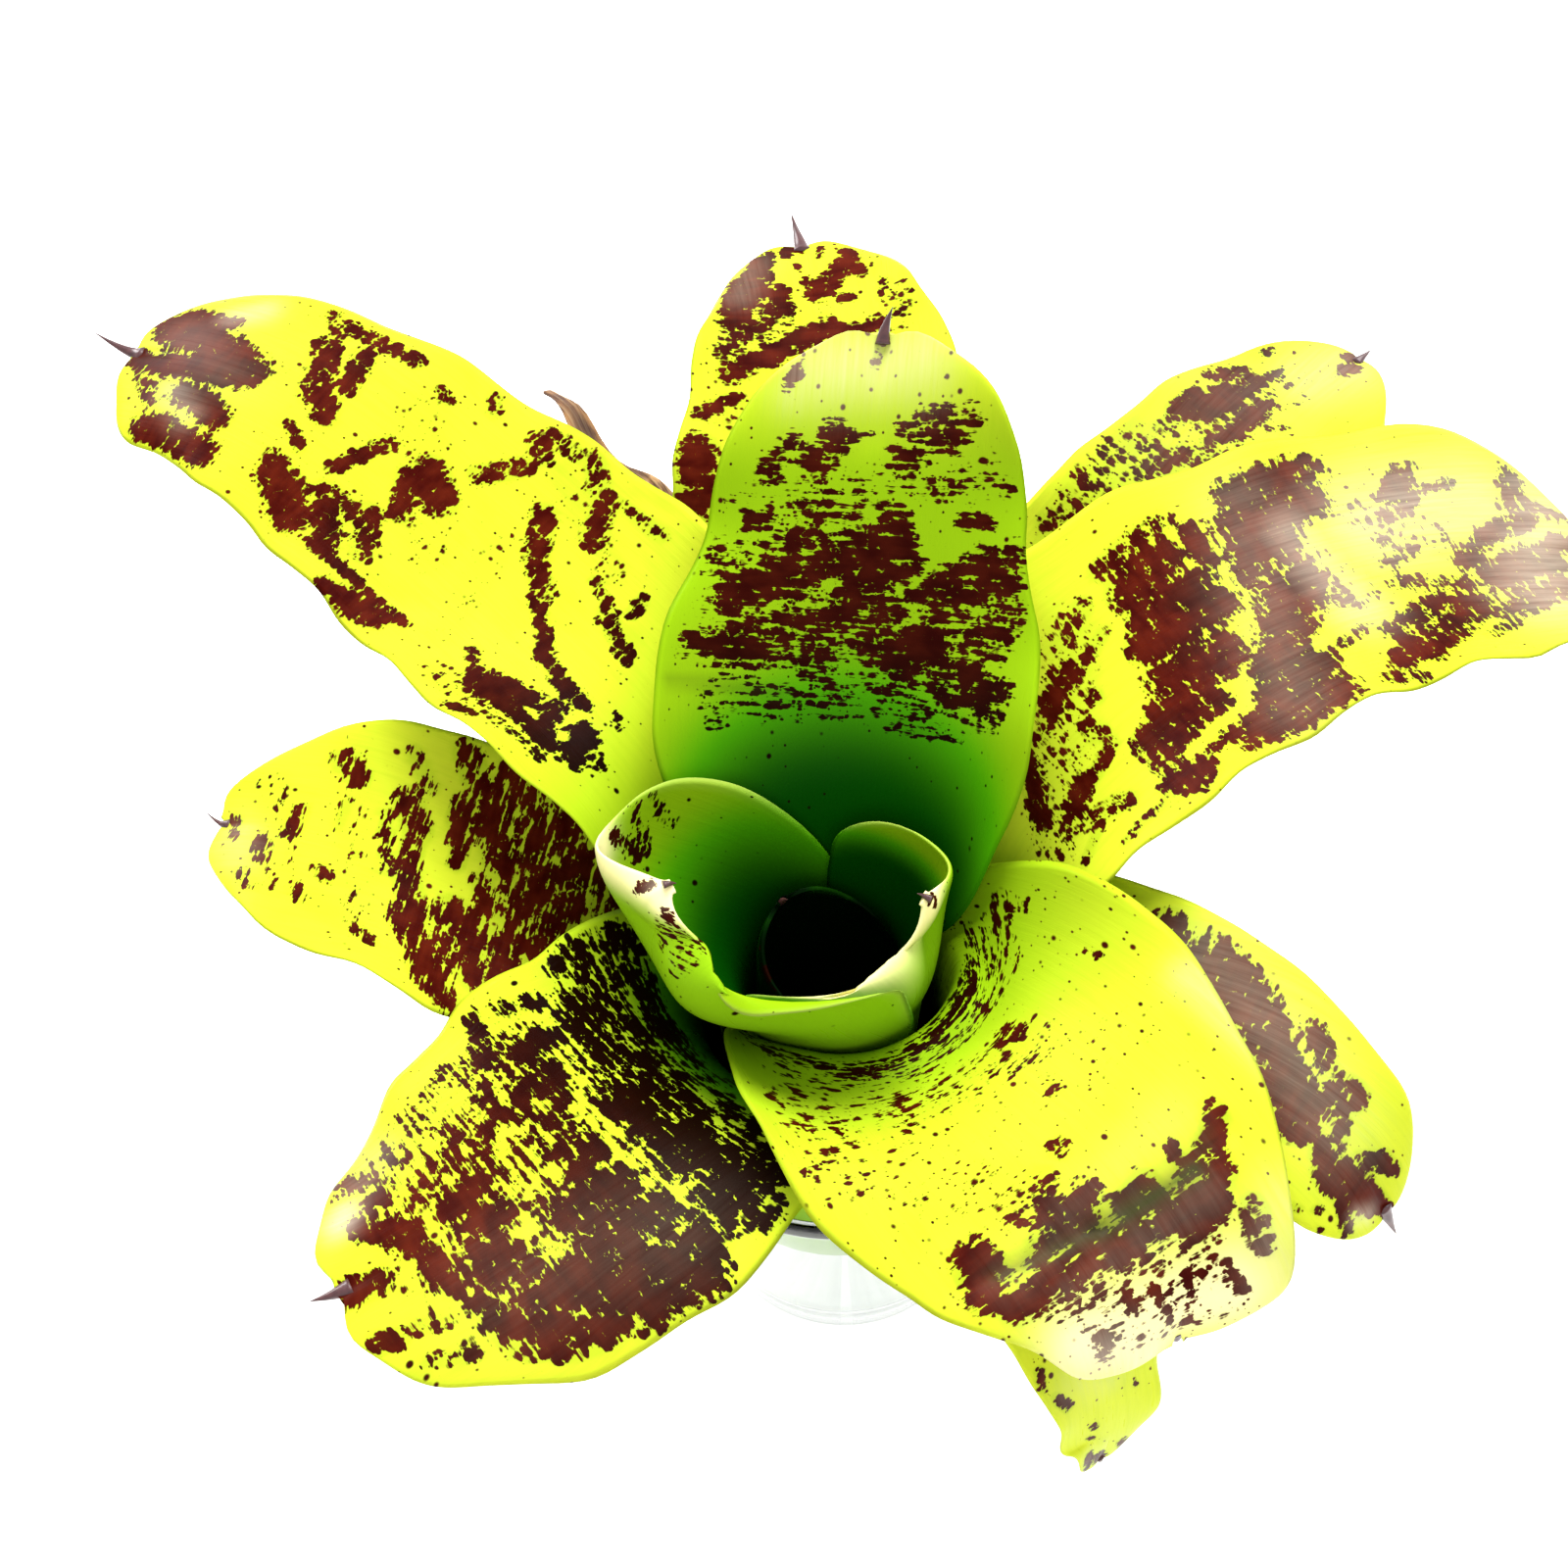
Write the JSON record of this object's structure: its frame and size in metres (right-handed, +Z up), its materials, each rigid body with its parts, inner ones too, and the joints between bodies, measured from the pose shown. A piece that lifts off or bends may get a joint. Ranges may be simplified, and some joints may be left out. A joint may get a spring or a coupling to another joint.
{
  "type": "neoregelia bromeliad",
  "caption": "Tank bromeliad with broad mottled strap leaves spiralling from a central cup, standing in a clear tapered glass tumbler.",
  "frame": {"origin": "centre of the tumbler's foot, on the surface it stands on", "axes": "+Z up along the tumbler and the plant's stem; the side seen from the front faces -Y"},
  "size_m": [0.3032, 0.2541, 0.1894],
  "materials": {
    "leaf": "satin",
    "dry_leaf": "matte",
    "stem": "matte",
    "glass": "gloss"
  },
  "bodies": {
    "root": {"glass_tumbler": "glass", "stem": "stem", "leaf_01": "leaf", "leaf_02": "leaf", "leaf_03": "leaf", "leaf_04": "leaf", "leaf_05": "leaf", "leaf_06": "leaf", "leaf_07": "leaf", "leaf_08": "leaf", "leaf_09": "leaf", "leaf_10": "leaf", "leaf_11": "leaf", "leaf_12": "leaf", "leaf_13": "leaf", "dry_leaf": "dry_leaf"}
  },
  "joints": []
}
